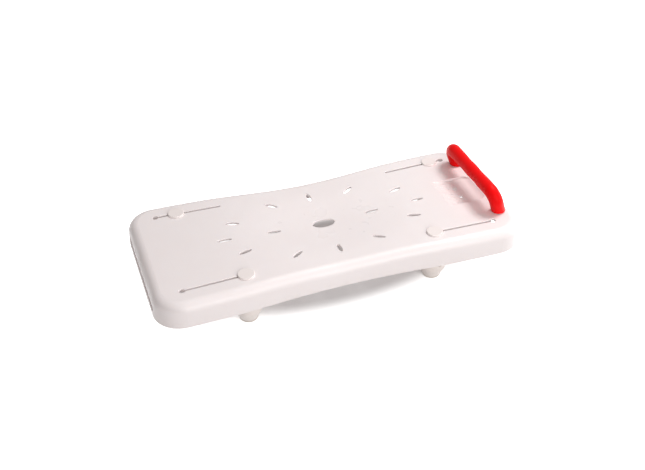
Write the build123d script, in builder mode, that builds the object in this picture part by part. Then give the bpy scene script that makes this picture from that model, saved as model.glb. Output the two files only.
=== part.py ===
from build123d import *
from math import acos, atan2, cos, degrees, hypot, pi, radians, sin
import os

os.makedirs("parts", exist_ok=True)

# Transfer board that lies across a bath: a moulded seat with a grab handle at
# one end and four clamping legs that hold it between the sides of the bath.
# X runs along the board towards the handle, Y across it, Z up. The origin is
# on the floor under the middle of the board when it stands on its legs.

# seat moulding, overall
board_length = 690
board_width = 306
waist_depth = 13
corner_radius = 51
rim_height = 51
skirt_height = 46
skirt_wall = 3.5
deck_wall = 4
edge_rounding = 18
draft_angle = 2.7

# seat surface
saddle_depth = 4.8
saddle_past_slots = 14
bowl_depth = 4.5
bowl_half_length = 190
bowl_half_width = 105
seat_grid = (57, 25)
slot_lip_rounding = 0.7

# drain slots, each at a share of the ring's half length and half width, with its
# turn and length; they stand like rays round the hole in the middle
ring_to_dish = 47
ring_to_edge = 69
drain_slot_width = 7.4
drain_slots = [
    (1, 0, 0, 26),
    (0.862, 0.53, 15, 26),
    (0.41, 0.94, 35, 25),
    (0, 1, 90, 24),
    (0.508, 0, 0, 26),
]
centre_hole_length = 43
centre_hole_width = 24

# soap dish: its long slope, level floor and short rise, along X
dish_end_margin = 27
dish_slope = 46
dish_floor = 14
dish_rise = 22
dish_half_width = 42
dish_depth = 5.5
dish_corner = 16
dish_wall = 3
dish_entry = 0.5
dish_groove_depth = 1
dish_groove_width = 2
dish_groove_pitch = 9
dish_groove_count = 8
dish_groove_reach = 28
dish_hole_y = 14.5
dish_hole_back = 5
dish_hole_length = 9
dish_hole_width = 5

# end walls: a shallow band set back above a lip
band_depth = 2.2
band_end_margin = 45
band_height = 20
lip_height = 9

# underside ribs
rib_wall = 2.5
rib_depth = 15
middle_rib_share = 0.357
cross_rib_shares = (0.238, 0.608)
short_rib_past_ring = 26
guide_rib_gap = 19
guide_rib_before_slot = 36
guide_rib_past_slot = 2.5

# keyhole slots that the legs are set along
slot_edge_margin = 42
slot_end_margin = 47.5
slot_length = 129
slot_angle = 2
slot_width = 4.6
keyhole_clearance = 0.5

# clamp bolt, its cap and its washer
shank_diameter = 10
neck_length = 9.4
neck_clearance = 0.2
bolt_head_diameter = 20
bolt_head_height = 1.6
cap_diameter = 30
cap_height = 3.2
cap_rounding = 1.4
bolt_length = 45
washer_diameter = 33
washer_thickness = 2.5
washer_clearance = 0.3
track_clearance = 0.5

# leg
post_diameter = 30
insert_diameter = 15
insert_length = 20
thread_clearance = 0.05
leg_bore_clearance = 0.4
bore_tip_room = 5
knob_diameter = 49
knob_below_rim = 5
knob_shoulder = 23
knob_rounding = 3
flute_count = 6
flute_width = 15
flute_depth = 4
flute_bottom = 34
tip_diameter = 34
tip_height = 6
tip_rounding = 5
tip_peg_diameter = 10
tip_peg_height = 7

# each leg's end and side, its distance from the outer end of its slot, and the
# way its first flute faces
leg_settings = {
    "near_left": (-1, -1, 118, 10),
    "far_left": (-1, 1, 44.5, 35),
    "near_right": (1, -1, 122, 50),
    "far_right": (1, 1, 31.5, 20),
}

# grab handle
bar_diameter = 26
bar_height = 41
bar_lean = 15
bar_bend = 14
bar_overhang = 2.5
handle_end_margin = 28
handle_edge_margin = 67
foot_rounding = 1.5
gasket_diameter = 21
gasket_thickness = 1
seating_play = 0.03

# handle fixings, driven from below
boss_diameter = 17
boss_depth = 12
screw_diameter = 5
screw_hole_clearance = 0.25
screw_head_diameter = 10
screw_head_height = 3.2
screw_washer_diameter = 15
screw_washer_thickness = 1.5
handle_insert_diameter = 8
handle_insert_length = 10

# values that follow from the sizes above
deck_height = rim_height + skirt_height
deck_underside = deck_height - deck_wall
half_length = board_length / 2
half_width = board_width / 2
slot_y = half_width - slot_edge_margin
slot_outer = half_length - slot_end_margin
slot_inner = slot_outer - slot_length
keyhole_diameter = shank_diameter + 2 * keyhole_clearance
saddle_half_length = slot_inner + saddle_past_slots
dish_end = half_length - dish_end_margin
dish_floor_end = dish_end - dish_rise
dish_floor_start = dish_floor_end - dish_floor
dish_start = dish_floor_start - dish_slope
dish_hole_x = dish_floor_start - dish_hole_back
ring_half_length = dish_start - ring_to_dish
ring_half_width = half_width - ring_to_edge
handle_foot_x = half_length - handle_end_margin
handle_foot_y = half_width - handle_edge_margin
knob_top = rim_height - knob_below_rim
neck_width = slot_width - 2 * neck_clearance
rib_bottom = deck_underside - rib_depth
boss_bottom = deck_underside - boss_depth
track_width = washer_diameter + 2 * track_clearance
sides = {"near": -1, "far": 1}


def waisted_outline(inset):
    """Plan of the board: rounded corners and long sides drawn in at the middle."""
    end_x = half_length - inset
    side_y = half_width - inset
    corner = corner_radius - inset
    shoulder_x = end_x - corner
    waist_y = side_y - waist_depth
    turning = (shoulder_x / 2, side_y - waist_depth / 2)
    with BuildSketch() as plan:
        with BuildLine():
            Line((end_x, 0), (end_x, side_y - corner))
            RadiusArc((end_x, side_y - corner), (shoulder_x, side_y), -corner)
            TangentArc((shoulder_x, side_y), turning, tangent=(-1, 0))
            TangentArc((0, waist_y), turning, tangent=(1, 0))
            mirror(about=Plane.YZ)
            mirror(about=Plane.XZ)
        make_face()
    return plan.sketch


def seat_level(x, y):
    """Height of the seat: level at the ends, a saddle between them and a shallow bowl."""
    saddle = saddle_depth * (1 + cos(pi * min(abs(x) / saddle_half_length, 1))) / 2
    away = (x / bowl_half_length) ** 2 + (y / bowl_half_width) ** 2
    return deck_height - saddle - bowl_depth * max(0, 1 - away) ** 2


def above_seat(drop):
    """Everything above the seat surface, lowered by drop."""
    columns, rows = seat_grid
    reach_x = half_length + corner_radius / 4
    reach_y = half_width + corner_radius / 4
    points = []
    for column in range(columns):
        x = reach_x * (2 * column / (columns - 1) - 1)
        ys = [reach_y * (2 * row / (rows - 1) - 1) for row in range(rows)]
        points.append([Vector(x, y, seat_level(x, y) - drop) for y in ys])
    seat = Face.make_surface_from_array_of_points(points, tol=0.01, min_deg=3, max_deg=5)
    return Solid.extrude(seat, (0, 0, skirt_height))


def moulding_form(inset, drop, rounding):
    """Closed solid of the board's form, drawn in by inset and lowered by drop."""
    with BuildPart() as form:
        with BuildSketch(Plane.XY.offset(rim_height)):
            add(waisted_outline(inset))
        extrude(amount=skirt_height + 5, taper=draft_angle)
        add(above_seat(drop), mode=Mode.SUBTRACT)
        seat_low = deck_height - drop - saddle_depth - 1
        fillet(form.edges().filter_by(lambda edge: runs_round_the_top(edge, seat_low)), rounding)
    return form.part


def runs_round_the_top(edge, seat_low):
    """True for the edges between the seat and the skirt."""
    middle = edge.center()
    outside = abs(middle.X) > half_length - corner_radius or abs(middle.Y) > slot_y
    return middle.Z > seat_low and outside


def dish_profile(extra):
    """Side view of the soap dish, deeper by extra: a long slope, a floor and a short rise."""
    top = deck_height + 1
    floor = deck_height - dish_depth - extra
    start = (dish_start - extra, deck_height + dish_entry)
    end = (dish_end + extra, deck_height + dish_entry)
    with BuildSketch() as view:
        with BuildLine():
            Spline(start, (dish_floor_start, floor), tangents=((1, -0.12), (1, 0)))
            Line((dish_floor_start, floor), (dish_floor_end, floor))
            Spline((dish_floor_end, floor), end, tangents=((1, 0), (1, 1)))
            Polyline(end, (end[0], top), (start[0], top), start)
        make_face()
    return view.sketch


def dish_form(extra):
    """Solid that fills the soap dish, thicker all round by extra."""
    half_span = dish_half_width + extra
    end_x = dish_end + extra
    corner = dish_corner + extra
    with BuildPart() as form:
        with BuildSketch(Plane.XZ):
            add(dish_profile(extra))
        extrude(amount=half_span, both=True)
        with BuildSketch(Plane.XY.offset(deck_height + 2)):
            with BuildLine():
                Polyline(
                    (end_x - corner, half_span),
                    (dish_start - extra, half_span),
                    (dish_start - extra, -half_span),
                    (end_x - corner, -half_span),
                )
                RadiusArc((end_x - corner, -half_span), (end_x, corner - half_span), -corner)
                Line((end_x, corner - half_span), (end_x, half_span - corner))
                RadiusArc((end_x, half_span - corner), (end_x - corner, half_span), -corner)
            make_face()
        extrude(amount=-skirt_height, mode=Mode.INTERSECT)
    return form.part


def is_opening_lip(edge):
    """True for the upper edges of the drain slots, the adjuster slots and the holes."""
    middle = edge.center()
    on_seat = middle.Z > seat_level(middle.X, middle.Y) - 0.3
    inside = abs(middle.X) < dish_start - 1 or abs(middle.Y) > dish_half_width + 1
    return on_seat and inside and edge.length < slot_length + 1 and middle.Z < deck_height + 0.1


def slot_place(end_x, side_y, from_outer_end):
    """A point on the middle line of an adjuster slot; the slots draw in towards the waist."""
    x = slot_outer - from_outer_end * cos(radians(slot_angle))
    y = slot_y - from_outer_end * sin(radians(slot_angle))
    return end_x * x, side_y * y


def drain_places():
    """Each drain slot in the seat: its centre, turn and length, in all four quarters."""
    places = []
    for share_x, share_y, turn, length in drain_slots:
        x = share_x * ring_half_length
        y = share_y * ring_half_width
        for side_x in (-1, 1) if x else (1,):
            for side_y in (-1, 1) if y else (1,):
                places.append((side_x * x, side_y * y, side_x * side_y * turn, length))
    return places


# Room inside the moulding. Every rib, boss and wall is left out of this room,
# so that cutting it from the outer form leaves them standing.
with BuildPart() as hollow:
    add(moulding_form(skirt_wall, deck_wall, edge_rounding - skirt_wall))
    with BuildSketch(Plane.XY.offset(rib_bottom)):
        for share in cross_rib_shares:
            cross_rib_x = share * ring_half_length
            with Locations((cross_rib_x, 0), (-cross_rib_x, 0)):
                Rectangle(rib_wall, board_width)
        middle_rib_y = middle_rib_share * ring_half_width
        with Locations((0, middle_rib_y), (0, -middle_rib_y)):
            Rectangle(board_length, rib_wall)
        guide_rib_length = guide_rib_before_slot + slot_length + guide_rib_past_slot
        short_rib_x = ring_half_length + short_rib_past_ring
        for end_x in (-1, 1):
            for side_y in (-1, 1):
                x, y = slot_place(end_x, side_y, guide_rib_length / 2 - guide_rib_past_slot)
                with Locations((x, y - side_y * guide_rib_gap)):
                    Rectangle(guide_rib_length, rib_wall, rotation=end_x * side_y * slot_angle)
            with Locations((end_x * short_rib_x, 0)):
                Rectangle(rib_wall, 2 * (slot_y - guide_rib_gap - rib_wall))
    extrude(amount=skirt_height, mode=Mode.SUBTRACT)
    with BuildSketch(Plane.XY.offset(boss_bottom)):
        with Locations((handle_foot_x, handle_foot_y), (handle_foot_x, -handle_foot_y)):
            Circle(boss_diameter / 2)
    extrude(amount=skirt_height, mode=Mode.SUBTRACT)
    add(dish_form(dish_wall), mode=Mode.SUBTRACT)

with BuildPart() as seat_board:
    add(moulding_form(0, 0, edge_rounding))
    add(hollow.part, mode=Mode.SUBTRACT)
    add(dish_form(0), mode=Mode.SUBTRACT)
    # raised bars in the soap dish, left between shallow grooves
    with BuildSketch(Plane.XZ):
        add(dish_profile(dish_groove_depth))
        with Locations((dish_start + dish_groove_reach + board_length / 2, deck_height)):
            Rectangle(board_length, board_width, mode=Mode.SUBTRACT)
    groove_y = [(n - (dish_groove_count - 1) / 2) * dish_groove_pitch for n in range(dish_groove_count)]
    groove_face = seat_board.pending_faces[0]
    seat_board.pending_faces = [
        groove_face.moved(Location((0, y - dish_groove_width / 2, 0))) for y in groove_y
    ]
    extrude(amount=dish_groove_width, dir=(0, 1, 0), mode=Mode.SUBTRACT)
    # drain openings, adjuster keyholes and handle screw holes
    with BuildSketch(Plane.XY.offset(deck_height + 1)):
        for x, y, turn, length in drain_places():
            with Locations((x, y)):
                Ellipse(length / 2, drain_slot_width / 2, rotation=turn)
        Ellipse(centre_hole_length / 2, centre_hole_width / 2)
        for end_x in (-1, 1):
            for side_y in (-1, 1):
                with Locations(slot_place(end_x, side_y, slot_length / 2)):
                    SlotOverall(slot_length, slot_width, rotation=end_x * side_y * slot_angle)
                with Locations(slot_place(end_x, side_y, keyhole_diameter / 2)):
                    Circle(keyhole_diameter / 2)
        with Locations((dish_hole_x, dish_hole_y), (dish_hole_x, -dish_hole_y)):
            SlotOverall(dish_hole_length, dish_hole_width)
        with Locations((handle_foot_x, handle_foot_y), (handle_foot_x, -handle_foot_y)):
            Circle(screw_diameter / 2 + screw_hole_clearance)
    extrude(amount=-skirt_height, mode=Mode.SUBTRACT)
    # small rounding on the lips of every opening
    openings = seat_board.edges().filter_by(lambda edge: is_opening_lip(edge))
    fillet(openings, slot_lip_rounding)
    # level tracks under the deck for the clamp washers
    with BuildSketch(Plane.XY.offset(deck_underside)):
        for end_x in (-1, 1):
            for side_y in (-1, 1):
                with Locations(slot_place(end_x, side_y, slot_length / 2)):
                    SlotOverall(slot_length + track_width, track_width, rotation=end_x * side_y * slot_angle)
    extrude(amount=-saddle_depth, mode=Mode.SUBTRACT)
    # shallow band above the lip of each end wall
    with BuildSketch(Plane.YZ.offset(half_length + 1)):
        with Locations((0, rim_height + lip_height + band_height / 2)):
            RectangleRounded(board_width - 2 * band_end_margin, band_height, band_height / 2.1)
    extrude(amount=-(band_depth + 1), mode=Mode.SUBTRACT)
    with BuildSketch(Plane.YZ.offset(-half_length - 1)):
        with Locations((0, rim_height + lip_height + band_height / 2)):
            RectangleRounded(board_width - 2 * band_end_margin, band_height, band_height / 2.1)
    extrude(amount=band_depth + 1, mode=Mode.SUBTRACT)
seat_board.part.label = "seat_board"
export_step(seat_board.part, "parts/seat_board.step")


# Grab handle: one bent bar, upright feet drawn in under the bends of its ends
handle_base = deck_height + seating_play + gasket_thickness
bar_rise = bar_height + deck_height - handle_base
foot_lean = atan2(bar_lean, bar_rise)
bar_run = hypot(bar_lean, bar_rise)
handle_plane = Plane(
    origin=(handle_foot_x, 0, handle_base),
    x_dir=(0, 1, 0),
    z_dir=(cos(foot_lean), 0, sin(foot_lean)),
)
# each bend's centre lies in from the end of the bar; the foot meets the bend on a tangent
bend_centre = (handle_foot_y + bar_overhang - bar_bend, bar_run - bar_bend)
to_foot = Vector(handle_foot_y - bend_centre[0], -bend_centre[1])
foot_turn = degrees(atan2(to_foot.Y, to_foot.X)) + degrees(acos(bar_bend / to_foot.length))
foot_reach = 10

with BuildPart() as grab_handle:
    with BuildLine(handle_plane) as bar_line:
        for side in (-1, 1):
            bend = CenterArc(
                (side * bend_centre[0], bend_centre[1]),
                bar_bend,
                90,
                -side * (90 - foot_turn),
            )
            foot_way = Vector(handle_foot_y, 0) - Vector(
                bend_centre[0] + bar_bend * cos(radians(foot_turn)),
                bend_centre[1] + bar_bend * sin(radians(foot_turn)),
            )
            foot_end = Vector(handle_foot_y, 0) + foot_way.normalized() * foot_reach
            Line(
                (side * (handle_foot_y - foot_way.X), -foot_way.Y),
                (side * foot_end.X, foot_end.Y),
            )
        Line((-bend_centre[0], bar_run), (bend_centre[0], bar_run))
    foot_plane = Plane(bar_line.line @ 0, z_dir=bar_line.line % 0)
    with BuildSketch(foot_plane):
        Circle(bar_diameter / 2)
    sweep(path=bar_line.line)
    split(bisect_by=Plane.XY.offset(handle_base), keep=Keep.TOP)
    foot_edges = grab_handle.edges().filter_by(lambda edge: edge.center().Z < handle_base + 0.1)
    fillet(foot_edges, foot_rounding)
    # pocket for each threaded insert, and room for the end of its screw
    foot_places = [(handle_foot_x, handle_foot_y), (handle_foot_x, -handle_foot_y)]
    with BuildSketch(Plane.XY.offset(handle_base)):
        with Locations(foot_places):
            Circle(handle_insert_diameter / 2)
    extrude(amount=handle_insert_length, mode=Mode.SUBTRACT)
    with BuildSketch(Plane.XY.offset(handle_base)):
        with Locations(foot_places):
            Circle(screw_diameter / 2 + screw_hole_clearance)
    extrude(amount=handle_insert_length + 4, mode=Mode.SUBTRACT)
grab_handle.part.label = "grab_handle"
export_step(grab_handle.part, "parts/grab_handle.step")

# Fixings of the handle: gasket on the deck, insert in the foot, washer and screw below
screw_seat = boss_bottom - screw_washer_thickness
screw_tip = handle_base + handle_insert_length + 2
for side_name, side in sides.items():
    foot_y = side * handle_foot_y

    with BuildPart() as gasket:
        with BuildSketch(Plane.XY.offset(deck_height + seating_play)):
            with Locations((handle_foot_x, foot_y)):
                Circle(gasket_diameter / 2)
                Circle(screw_diameter / 2 + screw_hole_clearance, mode=Mode.SUBTRACT)
        extrude(amount=gasket_thickness)
    gasket.part.label = f"handle_gasket_{side_name}"
    export_step(gasket.part, f"parts/handle_gasket_{side_name}.step")

    with BuildPart() as handle_insert:
        with BuildSketch(Plane.XY.offset(handle_base)):
            with Locations((handle_foot_x, foot_y)):
                Circle(handle_insert_diameter / 2)
                Circle(screw_diameter / 2, mode=Mode.SUBTRACT)
        extrude(amount=handle_insert_length)
    handle_insert.part.label = f"handle_insert_{side_name}"
    export_step(handle_insert.part, f"parts/handle_insert_{side_name}.step")

    with BuildPart() as screw_washer:
        with BuildSketch(Plane.XY.offset(screw_seat)):
            with Locations((handle_foot_x, foot_y)):
                Circle(screw_washer_diameter / 2)
                Circle(screw_diameter / 2 + screw_hole_clearance, mode=Mode.SUBTRACT)
        extrude(amount=screw_washer_thickness)
    screw_washer.part.label = f"handle_washer_{side_name}"
    export_step(screw_washer.part, f"parts/handle_washer_{side_name}.step")

    with BuildPart() as handle_screw:
        with BuildSketch(Plane.XY.offset(screw_seat)):
            with Locations((handle_foot_x, foot_y)):
                Circle(screw_head_diameter / 2)
        extrude(amount=-screw_head_height)
        head_rim = handle_screw.edges().group_by(Axis.Z)[0]
        fillet(head_rim, screw_head_height / 2)
        with BuildSketch(Plane.XY.offset(screw_seat)):
            with Locations((handle_foot_x, foot_y)):
                Circle(screw_diameter / 2)
        extrude(amount=screw_tip - screw_seat)
        with BuildSketch(Plane.XY.offset(screw_seat - screw_head_height)):
            with Locations((handle_foot_x, foot_y)):
                Rectangle(screw_head_diameter / 2, 1)
                Rectangle(1, screw_head_diameter / 2)
        extrude(amount=screw_head_height / 2, mode=Mode.SUBTRACT)
    handle_screw.part.label = f"handle_screw_{side_name}"
    export_step(handle_screw.part, f"parts/handle_screw_{side_name}.step")

# Four clamping legs
head_base = deck_height + seating_play
washer_bottom = deck_underside - washer_thickness
bolt_tip = deck_underside - bolt_length
post_top = washer_bottom
insert_bottom = post_top - insert_length
leg_bottom = tip_height

for leg_name, (leg_end, leg_side, setting, first_flute) in leg_settings.items():
    leg_x, leg_y = slot_place(leg_end, leg_side, setting)
    axis_place = (leg_x, leg_y)
    slot_turn = leg_end * leg_side * slot_angle

    # flat-sided neck in the slot, round shank below, low round head above
    with BuildPart() as clamp_bolt:
        with BuildSketch(Plane.XY.offset(head_base)):
            with Locations(axis_place):
                Circle(bolt_head_diameter / 2)
        extrude(amount=bolt_head_height)
        with BuildSketch(Plane.XY.offset(head_base)):
            with Locations(axis_place):
                SlotOverall(neck_length, neck_width, rotation=slot_turn)
        extrude(amount=deck_underside - head_base)
        with BuildSketch(Plane.XY.offset(deck_underside)):
            with Locations(axis_place):
                Circle(shank_diameter / 2)
        extrude(amount=-bolt_length)
        shank_tip = clamp_bolt.edges().group_by(Axis.Z)[0]
        chamfer(shank_tip, 1)
    clamp_bolt.part.label = f"clamp_bolt_{leg_name}"
    export_step(clamp_bolt.part, f"parts/clamp_bolt_{leg_name}.step")

    with BuildPart() as head_cap:
        with BuildSketch(Plane.XY.offset(head_base)):
            with Locations(axis_place):
                Circle(cap_diameter / 2)
        extrude(amount=cap_height)
        fillet(head_cap.edges().group_by(Axis.Z)[-1], cap_rounding)
        with BuildSketch(Plane.XY.offset(head_base)):
            with Locations(axis_place):
                Circle(bolt_head_diameter / 2)
        extrude(amount=bolt_head_height, mode=Mode.SUBTRACT)
    head_cap.part.label = f"head_cap_{leg_name}"
    export_step(head_cap.part, f"parts/head_cap_{leg_name}.step")

    with BuildPart() as clamp_washer:
        with BuildSketch(Plane.XY.offset(washer_bottom)):
            with Locations(axis_place):
                Circle(washer_diameter / 2)
                Circle(shank_diameter / 2 + washer_clearance, mode=Mode.SUBTRACT)
        extrude(amount=washer_thickness)
    clamp_washer.part.label = f"clamp_washer_{leg_name}"
    export_step(clamp_washer.part, f"parts/clamp_washer_{leg_name}.step")

    # post, and a knob with flutes for the fingers that tapers down to the foot
    with BuildPart() as leg:
        with BuildSketch(Plane.XY.offset(leg_bottom)):
            with Locations(axis_place):
                Circle(tip_diameter / 2)
        with BuildSketch(Plane.XY.offset(knob_shoulder)):
            with Locations(axis_place):
                Circle(knob_diameter / 2)
        loft()
        with BuildSketch(Plane.XY.offset(knob_shoulder)):
            with Locations(axis_place):
                Circle(knob_diameter / 2)
        extrude(amount=knob_top - knob_shoulder)
        fillet(leg.edges().group_by(Axis.Z)[-1], knob_rounding)
        flute_reach = (knob_diameter + flute_width) / 2 - flute_depth
        with BuildSketch(Plane.XY.offset(flute_bottom)):
            for turn in range(flute_count):
                way = radians(first_flute + turn * 360 / flute_count)
                with Locations((leg_x + flute_reach * cos(way), leg_y + flute_reach * sin(way))):
                    Circle(flute_width / 2)
        extrude(amount=knob_top - flute_bottom, mode=Mode.SUBTRACT)
        with BuildSketch(Plane.XY.offset(knob_top)):
            with Locations(axis_place):
                Circle(post_diameter / 2)
        extrude(amount=post_top - knob_top)
        with BuildSketch(Plane.XY.offset(post_top)):
            with Locations(axis_place):
                Circle(insert_diameter / 2)
        extrude(amount=-insert_length, mode=Mode.SUBTRACT)
        with BuildSketch(Plane.XY.offset(post_top)):
            with Locations(axis_place):
                Circle(shank_diameter / 2 + leg_bore_clearance)
        extrude(amount=-(post_top - bolt_tip + bore_tip_room), mode=Mode.SUBTRACT)
        with BuildSketch(Plane.XY.offset(leg_bottom)):
            with Locations(axis_place):
                Circle(tip_peg_diameter / 2)
        extrude(amount=tip_peg_height, mode=Mode.SUBTRACT)
    leg.part.label = f"leg_{leg_name}"
    export_step(leg.part, f"parts/leg_{leg_name}.step")

    with BuildPart() as leg_insert:
        with BuildSketch(Plane.XY.offset(post_top)):
            with Locations(axis_place):
                Circle(insert_diameter / 2)
                Circle(shank_diameter / 2 + thread_clearance, mode=Mode.SUBTRACT)
        extrude(amount=-insert_length)
    leg_insert.part.label = f"leg_insert_{leg_name}"
    export_step(leg_insert.part, f"parts/leg_insert_{leg_name}.step")

    # domed foot with a peg pushed up into the leg
    with BuildPart() as foot_tip:
        with BuildSketch(Plane.XY):
            with Locations(axis_place):
                Circle(tip_diameter / 2)
        extrude(amount=tip_height)
        fillet(foot_tip.edges().group_by(Axis.Z)[0], tip_rounding)
        with BuildSketch(Plane.XY.offset(tip_height)):
            with Locations(axis_place):
                Circle(tip_peg_diameter / 2)
        extrude(amount=tip_peg_height)
    foot_tip.part.label = f"foot_tip_{leg_name}"
    export_step(foot_tip.part, f"parts/foot_tip_{leg_name}.step")
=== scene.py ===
# Transfer board that lies across a bath: a moulded white seat with a red grab
# handle at one end and four clamping legs that slide in slots. Units are metres,
# X runs along the board to the handle, Z is up, and the legs stand on z = 0.
import bpy
import bmesh
from math import acos, atan2, cos, hypot, pi, radians, sin
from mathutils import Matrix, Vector


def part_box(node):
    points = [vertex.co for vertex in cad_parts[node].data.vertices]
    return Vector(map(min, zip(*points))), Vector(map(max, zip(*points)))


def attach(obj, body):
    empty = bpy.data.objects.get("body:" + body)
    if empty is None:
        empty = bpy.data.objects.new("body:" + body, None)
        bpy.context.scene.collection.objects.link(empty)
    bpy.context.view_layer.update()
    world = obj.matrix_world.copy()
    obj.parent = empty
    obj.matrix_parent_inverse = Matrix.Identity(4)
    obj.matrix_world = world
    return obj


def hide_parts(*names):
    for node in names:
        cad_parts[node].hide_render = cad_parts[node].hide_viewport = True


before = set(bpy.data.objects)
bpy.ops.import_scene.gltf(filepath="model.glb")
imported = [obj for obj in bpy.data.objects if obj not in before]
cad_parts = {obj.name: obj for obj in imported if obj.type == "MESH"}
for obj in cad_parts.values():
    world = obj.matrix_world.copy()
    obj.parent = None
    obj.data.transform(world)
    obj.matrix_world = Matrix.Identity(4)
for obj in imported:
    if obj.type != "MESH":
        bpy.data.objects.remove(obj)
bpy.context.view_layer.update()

# ---------------------------------------------------------------------------
# Studio: a flat pale card, a large soft lamp above and to the right, one in front
# for the long side and a low one for the handle end. The card glows and is kept out
# of bounced light, so the end away from the lamps stays shaded.
scene = bpy.context.scene
scene.view_settings.view_transform = "Standard"

camera_data = bpy.data.cameras.new("camera")
camera_data.lens = 50.17
camera_data.sensor_width = 36
camera = bpy.data.objects.new("camera", camera_data)
scene.collection.objects.link(camera)
azimuth, elevation = radians(-20.0), radians(37.0)
back = Vector((sin(azimuth) * cos(elevation), -cos(azimuth) * cos(elevation), sin(elevation)))
camera.location = (-0.4622, -1.2640, 1.0742)
camera.rotation_euler = back.to_track_quat("Z", "Y").to_euler()
scene.camera = camera

card_mesh = bpy.data.meshes.new("floor_card")
card = bmesh.new()
bmesh.ops.create_grid(card, x_segments=8, y_segments=8, size=8)
card.to_mesh(card_mesh)
card.free()
floor = bpy.data.objects.new("floor_card", card_mesh)
scene.collection.objects.link(floor)
floor.visible_diffuse = False
card_paint = bpy.data.materials.new("floor_card")
card_paint.use_nodes = True
card_shader = card_paint.node_tree.nodes["Principled BSDF"]
card_shader.inputs["Base Color"].default_value = (0.97, 0.97, 0.97, 1)
card_shader.inputs["Roughness"].default_value = 0.95
card_shader.inputs["Specular IOR Level"].default_value = 0.1
# the card glows all round the board and fades out under it, centred on the board, so
# that the board keeps a shade below it from every side
board_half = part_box("seat_board")[1]
glow = card_paint.node_tree
card_place = glow.nodes.new("ShaderNodeTexCoord")
card_spread = glow.nodes.new("ShaderNodeMapping")
card_spread.inputs["Scale"].default_value = (1 / board_half[0], 1 / board_half[1], 0)
glow.links.new(card_place.outputs["Object"], card_spread.inputs["Vector"])
card_reach = glow.nodes.new("ShaderNodeVectorMath")
card_reach.operation = "LENGTH"
glow.links.new(card_spread.outputs["Vector"], card_reach.inputs[0])
card_glow = glow.nodes.new("ShaderNodeMapRange")
card_glow.interpolation_type = "SMOOTHSTEP"
card_glow.inputs["From Min"].default_value = 0.7
card_glow.inputs["From Max"].default_value = 1.05
card_glow.inputs["To Max"].default_value = 1.0
glow.links.new(card_reach.outputs["Value"], card_glow.inputs["Value"])
glow.links.new(card_glow.outputs["Result"], card_shader.inputs["Emission Strength"])
card_shader.inputs["Emission Color"].default_value = (1, 1, 1, 1)
floor.data.materials.append(card_paint)

world = bpy.data.worlds.new("studio")
world.use_nodes = True
world.node_tree.nodes["Background"].inputs["Color"].default_value = (1.0, 0.965, 0.95, 1)
world.node_tree.nodes["Background"].inputs["Strength"].default_value = 0.41
scene.world = world

for lamp_name, place, size, power in (
    ("key", (1.0, 0.2, 1.7), 0.65, 19.5),
    ("front", (0.35, -1.9, 0.75), 1.1, 20),
    ("handle_end", (2.0, -0.2, 0.5), 0.9, 6),
):
    lamp_data = bpy.data.lights.new(lamp_name, "AREA")
    lamp_data.size = size
    lamp_data.energy = power
    lamp = bpy.data.objects.new(lamp_name, lamp_data)
    lamp.location = place
    lamp.rotation_euler = (Vector(place) - Vector((0.05, 0, 0.07))).to_track_quat("Z", "Y").to_euler()
    scene.collection.objects.link(lamp)


# ---------------------------------------------------------------------------
# Seat board: one white polypropylene moulding, 690 by 306 mm and 46 mm deep, with
# a ribbed underside, drain slots and a soap dish. The mould gives it a fine
# spark-eroded grain, and use has polished the seat and scuffed it lengthwise.
def texture(tree, kind, x, y, **settings):
    """A texture node at a place in the tree, with its sockets set."""
    node = tree.nodes.new(kind)
    node.location = (x, y)
    for socket, value in settings.items():
        node.inputs[socket.replace("_", " ")].default_value = value
    return node


def stretched(tree, place, scale, turn=0.0):
    """Object coordinates, stretched along each axis by scale and turned about Z."""
    coordinates = tree.nodes.new("ShaderNodeTexCoord")
    coordinates.location = (place[0] - 200, place[1])
    mapping = tree.nodes.new("ShaderNodeMapping")
    mapping.location = place
    mapping.inputs["Rotation"].default_value = (0, 0, turn)
    mapping.inputs["Scale"].default_value = scale
    tree.links.new(coordinates.outputs["Object"], mapping.inputs["Vector"])
    return mapping.outputs["Vector"]


def between(tree, value, low, high, to_low, to_high, x, y):
    """The value's range from low to high, moved to another range and held there."""
    node = tree.nodes.new("ShaderNodeMapRange")
    node.location = (x, y)
    node.inputs["From Min"].default_value = low
    node.inputs["From Max"].default_value = high
    node.inputs["To Min"].default_value = to_low
    node.inputs["To Max"].default_value = to_high
    tree.links.new(value, node.inputs["Value"])
    return node.outputs["Result"]


def combined(tree, how, first, second, x, y):
    """Two values joined by one sum; the second may be a plain number."""
    node = tree.nodes.new("ShaderNodeMath")
    node.location = (x, y)
    node.operation = how
    node.use_clamp = how in ("ADD", "SUBTRACT")
    tree.links.new(first, node.inputs[0])
    if isinstance(second, (int, float)):
        node.inputs[1].default_value = second
    else:
        tree.links.new(second, node.inputs[1])
    return node.outputs["Value"]


def blended(tree, amount, pale, deep, x, y):
    """A colour between two others; each may be a colour or another node's output."""
    node = tree.nodes.new("ShaderNodeMix")
    node.location = (x, y)
    node.data_type = "RGBA"
    tree.links.new(amount, node.inputs["Factor"])
    # a Mix node keeps its colour sockets after those for numbers and vectors
    for socket, colour in ((node.inputs[6], pale), (node.inputs[7], deep)):
        if isinstance(colour, tuple):
            socket.default_value = colour
        else:
            tree.links.new(colour, socket)
    return node.outputs[2]


def raised(tree, height, strength, distance, under, x, y):
    """Relief of a height, laid over the relief that is there already."""
    node = tree.nodes.new("ShaderNodeBump")
    node.location = (x, y)
    node.inputs["Strength"].default_value = strength
    node.inputs["Distance"].default_value = distance
    tree.links.new(height, node.inputs["Height"])
    if under is not None:
        tree.links.new(under, node.inputs["Normal"])
    return node.outputs["Normal"]


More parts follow.
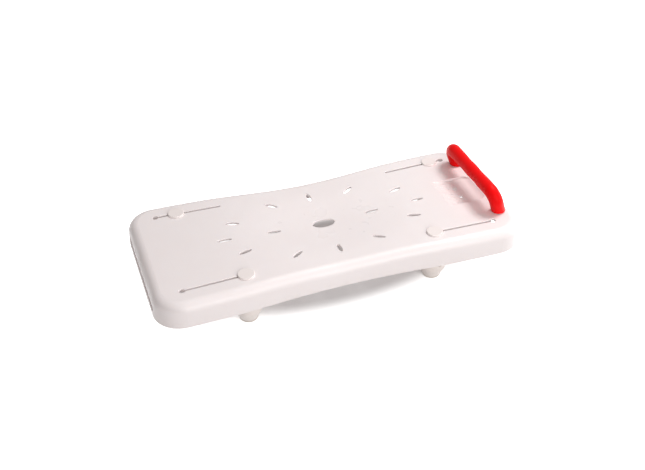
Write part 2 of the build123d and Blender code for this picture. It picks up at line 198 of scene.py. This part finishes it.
def moulded_plastic(name, pale, deep, roughness, grain_size, grain_depth, scratch_turn):
    """Moulded plastic: cloudy colour, mould grain, hairline scratches and dull patches."""
    material = bpy.data.materials.new(name)
    material.use_nodes = True
    tree = material.node_tree
    shader = tree.nodes["Principled BSDF"]
    shader.inputs["IOR"].default_value = 1.49
    # slow drift of the pigment, broken by a finer cloud
    cloud = texture(tree, "ShaderNodeTexNoise", -900, 300, Scale=7.0, Detail=5.0, Roughness=0.6)
    tree.links.new(stretched(tree, (-1100, 300), (1, 1, 1)), cloud.inputs["Vector"])
    drift = between(tree, cloud.outputs["Fac"], 0.35, 0.7, 0.0, 1.0, -700, 300)
    tree.links.new(blended(tree, drift, pale, deep, -300, 300), shader.inputs["Base Color"])
    # hairline scratches in two lengths along the way that hands and cloths move
    long_way = stretched(tree, (-1100, -100), (9, 700, 700), scratch_turn)
    hairs = texture(tree, "ShaderNodeTexNoise", -900, -100, Scale=1.0, Detail=2.0, Roughness=0.5)
    tree.links.new(long_way, hairs.inputs["Vector"])
    scratch = between(tree, hairs.outputs["Fac"], 0.66, 0.74, 0.0, 1.0, -700, -100)
    patches = texture(tree, "ShaderNodeTexNoise", -900, -300, Scale=16.0, Detail=3.0)
    tree.links.new(stretched(tree, (-1100, -300), (1, 1, 1)), patches.inputs["Vector"])
    patch = between(tree, patches.outputs["Fac"], 0.4, 0.65, 0.0, 1.0, -700, -300)
    worn = combined(tree, "MULTIPLY", scratch, patch, -500, -200)
    # dull in the patches and the scratches, glossier between them
    dull = between(tree, patches.outputs["Fac"], 0.3, 0.7, roughness - 0.05, roughness + 0.07, -700, 0)
    rougher = combined(tree, "MULTIPLY", worn, 0.16, -300, -200)
    tree.links.new(combined(tree, "ADD", dull, rougher, -150, -100), shader.inputs["Roughness"])
    # grain of the mould, then the scratches cut into it
    grain = texture(tree, "ShaderNodeTexNoise", -900, -500, Scale=1 / grain_size, Detail=3.0, Roughness=0.55)
    tree.links.new(stretched(tree, (-1100, -500), (1, 1, 1)), grain.inputs["Vector"])
    relief = raised(tree, grain.outputs["Fac"], 0.5, grain_depth, None, -500, -500)
    cut = combined(tree, "MULTIPLY", worn, -1.0, -300, -400)
    relief = raised(tree, cut, 0.35, 0.00003, relief, -200, -500)
    tree.links.new(relief, shader.inputs["Normal"])
    return material


seat_plastic = moulded_plastic(
    "seat_plastic", (0.905, 0.842, 0.838, 1), (0.882, 0.812, 0.806, 1), 0.36, 0.0011, 0.00012, 0.0
)
tree = seat_plastic.node_tree
shader = tree.nodes["Principled BSDF"]
shader.inputs["Subsurface Weight"].default_value = 0.08
shader.inputs["Subsurface Radius"].default_value = (0.004, 0.0035, 0.003)
shader.inputs["Subsurface Scale"].default_value = 0.6
# the middle of the seat is polished by sitting: an oval that fades towards the ends
spot = stretched(tree, (-1100, 700), (1 / 0.26, 1 / 0.115, 1))
flat = tree.nodes.new("ShaderNodeVectorMath")
flat.operation = "MULTIPLY"
flat.inputs[1].default_value = (1, 1, 0)
tree.links.new(spot, flat.inputs[0])
reach = tree.nodes.new("ShaderNodeVectorMath")
reach.operation = "LENGTH"
tree.links.new(flat.outputs["Vector"], reach.inputs[0])
polish = between(tree, reach.outputs["Value"], 0.35, 1.1, 0.055, 0.0, -500, 700)
before = shader.inputs["Roughness"].links[0].from_socket
tree.links.new(combined(tree, "SUBTRACT", before, polish, 0, 0), shader.inputs["Roughness"])
# the colour turns darker and browner towards the bottom, low on the skirt and under the deck, in broken
# patches
low = tree.nodes.new("ShaderNodeSeparateXYZ")
tree.links.new(stretched(tree, (-1100, 900), (1, 1, 1)), low.inputs["Vector"])
bottom_weight = between(tree, low.outputs["Z"], 0.051, 0.064, 1.0, 0.0, -700, 900)
bottom_noise = texture(tree, "ShaderNodeTexNoise", -900, 1100, Scale=55.0, Detail=6.0, Roughness=0.65)
tree.links.new(stretched(tree, (-1100, 1100), (1, 1, 2)), bottom_noise.inputs["Vector"])
bottom_break = between(tree, bottom_noise.outputs["Fac"], 0.45, 0.75, 0.0, 0.45, -700, 1100)
bottom_darkening = combined(tree, "MULTIPLY", bottom_weight, bottom_break, -500, 1000)
plain_tone = shader.inputs["Base Color"].links[0].from_socket
# the base colour is blended towards a darker brown below about 64 mm height
tree.links.new(blended(tree, bottom_darkening, plain_tone, (0.78, 0.70, 0.66, 1), -100, 500), shader.inputs["Base Color"])


def finish(node_name, material):
    """Gives every slot of a carried-over piece its material."""
    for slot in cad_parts[node_name].material_slots:
        slot.material = material


finish("seat_board", seat_plastic)

# ---------------------------------------------------------------------------
# Grab handle: a red bar 26 mm thick and about 175 mm wide, moulded with three low
# swells for the grip and a soft-touch skin. Its feet lean in from the end of the
# board, each held by a screw from below through a thin red gasket.
bar_radius = 0.013
swell_depth = 0.0007
swell_pitch = 0.047
ridge_height = 0.00012
foot_edge = 0.0015
around = 64
gasket_low, gasket_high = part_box("handle_gasket_far")
handle_low, handle_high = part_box("grab_handle")
foot = Vector(((gasket_low[0] + gasket_high[0]) / 2, (gasket_low[1] + gasket_high[1]) / 2, gasket_high[2]))
bar_x = handle_low[0] + bar_radius
bar_z = handle_high[2] - bar_radius
bar_end = handle_high[1] - bar_radius
bar_run = hypot(foot.x - bar_x, bar_z - foot.z)
rising = Vector((bar_x - foot.x, 0, bar_z - foot.z)) / bar_run
outward = Vector((rising.z, 0, -rising.x))
bend = 0.018
straight_steps, bend_steps, foot_steps = 60, 24, 13
bend_y, bend_rise = bar_end - bend, bar_run - bend
to_foot = hypot(foot.y - bend_y, bend_rise)
touch = atan2(-bend_rise, foot.y - bend_y) + acos(bend / to_foot)

# half of the bar's middle line as (y, rise), from the middle out to one foot
half_line = [(bend_y * step / straight_steps, bar_run) for step in range(straight_steps)]
for step in range(bend_steps + 1):
    angle = pi / 2 + (touch - pi / 2) * step / bend_steps
    half_line.append((bend_y + bend * cos(angle), bend_rise + bend * sin(angle)))
last_y, last_rise = half_line[-1]
for step in range(1, foot_steps):
    share = step / foot_steps
    half_line.append((last_y + (foot.y - last_y) * share, last_rise * (1 - share)))
line = [(-y, rise) for y, rise in reversed(half_line[1:])] + half_line


def bar_thickness(y):
    """Radius of the bar: full at its middle and its bends, with a soft waist between."""
    waist = 0.5 - 0.5 * cos(2 * pi * y / swell_pitch) if abs(y) < swell_pitch else 0.0
    return bar_radius - swell_depth * waist


grip_mesh = bpy.data.meshes.new("grip_bar")
bar = bmesh.new()
rings = []
for number, (y, rise) in enumerate(line):
    ahead = line[min(number + 1, len(line) - 1)]
    behind = line[max(number - 1, 0)]
    along = Vector((0, 1, 0)) * (ahead[0] - behind[0]) + rising * (ahead[1] - behind[1])
    along.normalize()
    across = outward.cross(along).normalized()
    centre = Vector((foot.x, y, foot.z)) + rising * rise
    radius = bar_thickness(y)
    ring = []
    for step in range(around):
        angle = 2 * pi * step / around
        # fine ridge where the two halves of the mould met
        ridge = ridge_height if step in (0, around // 2) else 0.0
        point = centre + (radius + ridge) * (cos(angle) * outward + sin(angle) * across)
        ring.append(point)
    rings.append((ring, along))

# the feet are cut level, a little above the gasket, with a rounded edge below
for end, way in ((0, -1), (len(rings) - 1, 1)):
    ring, along = rings[end]
    down = along * way
    level = foot.z + foot_edge
    rings[end] = ([p + down * ((p.z - level) / -down.z) for p in ring], along)
for number in [*range(1, foot_steps + 1), *range(len(rings) - foot_steps - 1, len(rings) - 1)]:
    ring, along = rings[number]
    limit = foot.z + foot_edge + 0.0006 * min(number, len(rings) - 1 - number)
    down = along if number > len(rings) / 2 else -along
    if down.z < -0.5:
        rings[number] = ([p + down * ((p.z - limit) / -down.z) if p.z < limit else p for p in ring], along)

loops = [[bar.verts.new(p) for p in ring] for ring, along in rings]
for end in (0, -1):
    middle = Vector((foot.x, -foot.y if end == 0 else foot.y, foot.z))
    ring = rings[end][0]
    previous = loops[end]
    edges = []
    for turn in (pi / 6, pi / 3, pi / 2):
        inset = foot_edge * (1 - cos(turn))
        drop = foot_edge * sin(turn)
        edges.append([p + (middle - p).normalized() * inset - Vector((0, 0, drop)) for p in ring])
    edges.append([middle + (Vector((p.x, p.y, foot.z)) - middle) * 0.4 for p in ring])
    for edge in edges:
        added = [bar.verts.new((p.x, p.y, max(p.z, foot.z))) for p in edge]
        for step in range(around):
            after = (step + 1) % around
            corners = (previous[step], previous[after], added[after], added[step])
            bar.faces.new(corners if end == -1 else tuple(reversed(corners)))
        previous = added
    bar.faces.new(previous if end == -1 else list(reversed(previous)))
for first, second in zip(loops, loops[1:]):
    for step in range(around):
        after = (step + 1) % around
        bar.faces.new((first[step], first[after], second[after], second[step]))
bmesh.ops.recalc_face_normals(bar, faces=bar.faces)
for face in bar.faces:
    face.smooth = True
bar.to_mesh(grip_mesh)
bar.free()
grip_bar = bpy.data.objects.new("grip_bar", grip_mesh)
scene.collection.objects.link(grip_bar)

grip_red = moulded_plastic(
    "grip_red", (0.930, 0.0035, 0.0055, 1), (0.850, 0.0025, 0.0040, 1), 0.42, 0.0007, 0.00010, pi / 2
)
shader = grip_red.node_tree.nodes["Principled BSDF"]
shader.inputs["Specular IOR Level"].default_value = 0.22
shader.inputs["Specular Tint"].default_value = (1.0, 0.35, 0.3, 1)
grip_mesh.materials.append(grip_red)
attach(grip_bar, "board")
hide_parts("grab_handle")


def soft_rubber(name, pale, deep, roughness):
    """Moulded rubber: matt, with a fine dusty bloom and small pits."""
    material = bpy.data.materials.new(name)
    material.use_nodes = True
    tree = material.node_tree
    shader = tree.nodes["Principled BSDF"]
    shader.inputs["Specular IOR Level"].default_value = 0.35
    shader.inputs["Sheen Weight"].default_value = 0.15
    shader.inputs["Sheen Roughness"].default_value = 0.6
    bloom = texture(tree, "ShaderNodeTexNoise", -900, 200, Scale=90.0, Detail=6.0, Roughness=0.7)
    tree.links.new(stretched(tree, (-1100, 200), (1, 1, 1)), bloom.inputs["Vector"])
    dusty = between(tree, bloom.outputs["Fac"], 0.4, 0.72, 0.0, 1.0, -700, 200)
    tree.links.new(blended(tree, dusty, pale, deep, -300, 200), shader.inputs["Base Color"])
    rough = between(tree, bloom.outputs["Fac"], 0.3, 0.7, roughness - 0.08, roughness + 0.08, -500, 0)
    tree.links.new(rough, shader.inputs["Roughness"])
    pits = texture(tree, "ShaderNodeTexVoronoi", -900, -200, Scale=1400.0)
    tree.links.new(stretched(tree, (-1100, -200), (1, 1, 1)), pits.inputs["Vector"])
    pit = between(tree, pits.outputs["Distance"], 0.0, 0.35, 0.0, 1.0, -700, -200)
    tree.links.new(raised(tree, pit, 0.3, 0.00008, None, -300, -200), shader.inputs["Normal"])
    return material


gasket_red = soft_rubber("gasket_red", (0.42, 0.012, 0.012, 1), (0.33, 0.010, 0.010, 1), 0.6)
for side in ("near", "far"):
    finish(f"handle_gasket_{side}", gasket_red)


# ---------------------------------------------------------------------------
# Fixings: stainless screws and washers under the handle and stainless clamp bolts
# in the slots, turned and then tumbled, and brass inserts moulded into the handle
# and the legs. The metal shows fine rings from the lathe and a few stains.
def turned_metal(name, bright, dark, roughness, turning):
    """Turned metal: lathe rings along Z, a brushed streak and dull stains."""
    material = bpy.data.materials.new(name)
    material.use_nodes = True
    tree = material.node_tree
    shader = tree.nodes["Principled BSDF"]
    shader.inputs["Metallic"].default_value = 1.0
    shader.inputs["Anisotropic"].default_value = 0.35
    rings = texture(tree, "ShaderNodeTexNoise", -900, 200, Scale=1.0, Detail=4.0, Roughness=0.6)
    tree.links.new(stretched(tree, (-1100, 200), (60, 60, turning)), rings.inputs["Vector"])
    stain = texture(tree, "ShaderNodeTexNoise", -900, 0, Scale=140.0, Detail=5.0, Roughness=0.65)
    tree.links.new(stretched(tree, (-1100, 0), (1, 1, 1)), stain.inputs["Vector"])
    dull = between(tree, stain.outputs["Fac"], 0.45, 0.75, 0.0, 1.0, -700, 0)
    tree.links.new(blended(tree, dull, bright, dark, -300, 200), shader.inputs["Base Color"])
    base = between(tree, rings.outputs["Fac"], 0.3, 0.7, roughness - 0.06, roughness + 0.06, -700, 200)
    tree.links.new(
        combined(tree, "ADD", base, combined(tree, "MULTIPLY", dull, 0.14, -500, 0), -300, 0),
        shader.inputs["Roughness"],
    )
    relief = raised(tree, rings.outputs["Fac"], 0.25, 0.00004, None, -300, -200)
    tree.links.new(relief, shader.inputs["Normal"])
    return material


stainless = turned_metal("stainless", (0.63, 0.62, 0.60, 1), (0.44, 0.43, 0.41, 1), 0.28, 2600)
brass = turned_metal("brass", (0.78, 0.58, 0.26, 1), (0.52, 0.36, 0.15, 1), 0.32, 2200)
for side in ("near", "far"):
    finish(f"handle_screw_{side}", stainless)
    finish(f"handle_washer_{side}", stainless)
    finish(f"handle_insert_{side}", brass)

# ---------------------------------------------------------------------------
# Clamping legs: nylon in a warm off-white, a fluted knob 49 mm across on a 30 mm
# post. Each screws up a bolt whose head lies in a round nylon cap on the seat, and
# stands on a soft rubber tip with a domed edge, pushed into its lower end.
leg_nylon = moulded_plastic(
    "leg_nylon", (0.87, 0.795, 0.755, 1), (0.83, 0.745, 0.700, 1), 0.38, 0.0009, 0.00012, pi / 3
)
cap_nylon = moulded_plastic(
    "cap_nylon", (0.895, 0.825, 0.805, 1), (0.870, 0.790, 0.765, 1), 0.33, 0.0010, 0.00010, pi / 5
)
tip_rubber = soft_rubber("tip_rubber", (0.76, 0.69, 0.63, 1), (0.66, 0.58, 0.52, 1), 0.62)
for leg in ("near_left", "far_left", "near_right", "far_right"):
    finish(f"leg_{leg}", leg_nylon)
    finish(f"head_cap_{leg}", cap_nylon)
    finish(f"foot_tip_{leg}", tip_rubber)
    finish(f"leg_insert_{leg}", brass)
    finish(f"clamp_bolt_{leg}", stainless)
    finish(f"clamp_washer_{leg}", stainless)
